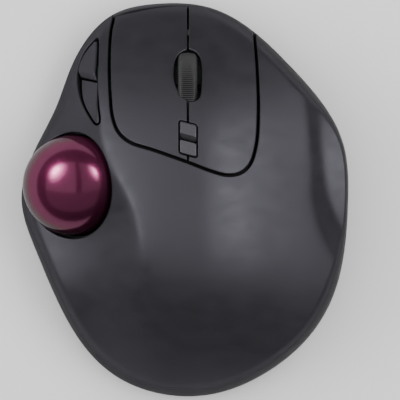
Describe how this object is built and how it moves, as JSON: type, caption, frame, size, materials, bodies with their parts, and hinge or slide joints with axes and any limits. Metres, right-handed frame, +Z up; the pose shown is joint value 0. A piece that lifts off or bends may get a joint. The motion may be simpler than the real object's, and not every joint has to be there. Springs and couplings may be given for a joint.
{
  "type": "trackball mouse",
  "caption": "Right-handed wireless mouse with a thumb trackball in a sloped socket, split click plates, a scroll wheel, resolution and side buttons, cell bay and parked receiver",
  "frame": {"origin": "centre of the bounding box in plan, on the surface that the mouse stands on", "axes": "+X to the right of the hand, away from the ball; +Y to the front, where the wheel is; +Z up"},
  "size_m": [0.1117, 0.1344, 0.0478],
  "materials": {
    "shell": "charcoal ABS with a fine satin texture",
    "button": "charcoal ABS, smooth satin",
    "inner_black": "plain black moulding",
    "tyre": "matt black rubber with fine ribs",
    "natural_white": "undyed acetal",
    "grey_gloss": "dark grey, slightly glossy",
    "ball": "polished maroon resin with fine pearl flakes",
    "ceramic": "polished white ceramic",
    "clear": "clear moulded lens",
    "chip": "black epoxy and switch housings",
    "board": "green solder mask",
    "steel": "nickel-plated steel",
    "cell": "plain blue shrink sleeve, no print",
    "slider": "dull red",
    "foot": "dark grey low-friction pad",
    "label": "blank satin foil"
  },
  "bodies": {
    "casing": {"top_shell": "shell", "base_shell": "shell", "button_deck": "inner_black", "carrier_bracket": "inner_black", "ball_cup": "inner_black", "cup_bearing_1": "ceramic", "cup_bearing_2": "ceramic", "cup_bearing_3": "ceramic", "sensor_lens": "clear", "sensor_chip": "chip", "sensor_board": "board", "main_board": "board", "left_switch": "chip", "right_switch": "chip", "middle_switch": "chip", "radio_chip": "chip", "resolution_board": "board", "resolution_up_switch": "chip", "resolution_down_switch": "chip", "side_board": "board", "forward_switch": "chip", "back_switch": "chip", "battery_cell": "cell", "battery_plus_contact": "steel", "battery_spring_contact": "steel", "power_switch_body": "chip", "front_foot": "foot", "rear_foot": "foot", "thumb_foot": "foot", "left_foot": "foot", "right_foot": "foot", "label_plate": "label", "case_screw_1": "steel", "case_screw_2": "steel", "case_screw_3": "steel", "case_screw_4": "steel"},
    "left_click": {"left_button": "button"},
    "right_click": {"right_button": "button"},
    "left_plunger_body": {"left_plunger": "natural_white"},
    "right_plunger_body": {"right_plunger": "natural_white"},
    "middle_plunger_body": {"middle_plunger": "natural_white"},
    "carrier": {"wheel_carrier": "natural_white", "wheel_encoder": "chip"},
    "wheel": {"wheel_hub": "inner_black", "wheel_tyre": "tyre"},
    "resolution_up": {"resolution_up_button": "grey_gloss"},
    "resolution_down": {"resolution_down_button": "grey_gloss"},
    "forward": {"forward_button": "button"},
    "back": {"back_button": "button"},
    "ball": {"trackball": "ball"},
    "cover": {"battery_cover": "shell"},
    "power_knob": {"power_switch_knob": "slider"},
    "receiver": {"receiver_cap": "inner_black", "receiver_plug": "steel", "receiver_tongue": "natural_white"}
  },
  "joints": [
    {"name": "left_press", "type": "hinge", "parent": "casing", "child": "left_click", "pos_m": [-0.012, 0.0195, 0.041], "axis": [-1, 0, 0], "range_deg": [0, 1], "stiffness_Nm_per_rad": 0.6, "springref_deg": -0.57},
    {"name": "right_press", "type": "hinge", "parent": "casing", "child": "right_click", "pos_m": [0.013, 0.0195, 0.041], "axis": [-1, 0, 0], "range_deg": [0, 1], "stiffness_Nm_per_rad": 0.6, "springref_deg": -0.57},
    {"name": "left_plunger_slide", "type": "slide", "parent": "casing", "child": "left_plunger_body", "axis": [0, 0, -1], "range_m": [0, 0.0006]},
    {"name": "right_plunger_slide", "type": "slide", "parent": "casing", "child": "right_plunger_body", "axis": [0, 0, -1], "range_m": [0, 0.0006]},
    {"name": "wheel_click", "type": "hinge", "parent": "casing", "child": "carrier", "pos_m": [0.001, 0.0245, 0.02], "axis": [-1, 0, 0], "range_deg": [0, 1.1], "stiffness_Nm_per_rad": 0.8, "springref_deg": -0.69},
    {"name": "middle_plunger_slide", "type": "slide", "parent": "casing", "child": "middle_plunger_body", "axis": [0, 0, -1], "range_m": [0, 0.00065]},
    {"name": "wheel_spin", "type": "hinge", "parent": "carrier", "child": "wheel", "pos_m": [0.001, 0.0381, 0.0262], "axis": [1, 0, 0], "continuous": true},
    {"name": "resolution_up_press", "type": "slide", "parent": "casing", "child": "resolution_up", "axis": [0, 0, -1], "range_m": [0, 0.0005], "stiffness_N_per_m": 600, "springref_m": -0.0006},
    {"name": "resolution_down_press", "type": "slide", "parent": "casing", "child": "resolution_down", "axis": [0, 0, -1], "range_m": [0, 0.0005], "stiffness_N_per_m": 600, "springref_m": -0.0006},
    {"name": "forward_press", "type": "slide", "parent": "casing", "child": "forward", "axis": [0.766, 0, -0.6428], "range_m": [0, 0.00045], "stiffness_N_per_m": 600, "springref_m": -0.0008},
    {"name": "back_press", "type": "slide", "parent": "casing", "child": "back", "axis": [0.766, 0, -0.6428], "range_m": [0, 0.00045], "stiffness_N_per_m": 600, "springref_m": -0.0008},
    {"name": "trackball_roll", "type": "hinge", "parent": "casing", "child": "ball", "pos_m": [-0.0381, 0.005, 0.026], "axis": [1, 0, 0], "continuous": true},
    {"name": "cover_swing", "type": "hinge", "parent": "casing", "child": "cover", "pos_m": [0.0062, -0.0408, 0.0016], "axis": [-1, 0, 0], "range_deg": [0, 75]},
    {"name": "power_slide", "type": "slide", "parent": "casing", "child": "power_knob", "axis": [0, 1, 0], "range_m": [0, 0.003]},
    {"name": "receiver_slide", "type": "slide", "parent": "casing", "child": "receiver", "axis": [0, 0, -1], "range_m": [0, 0.02]}
  ],
  "couplings": [
    {"joint": "left_plunger_slide", "follows": "left_press", "m_per_rad": 0.0305},
    {"joint": "right_plunger_slide", "follows": "right_press", "m_per_rad": 0.0305},
    {"joint": "middle_plunger_slide", "follows": "wheel_click", "m_per_rad": 0.0325}
  ]
}
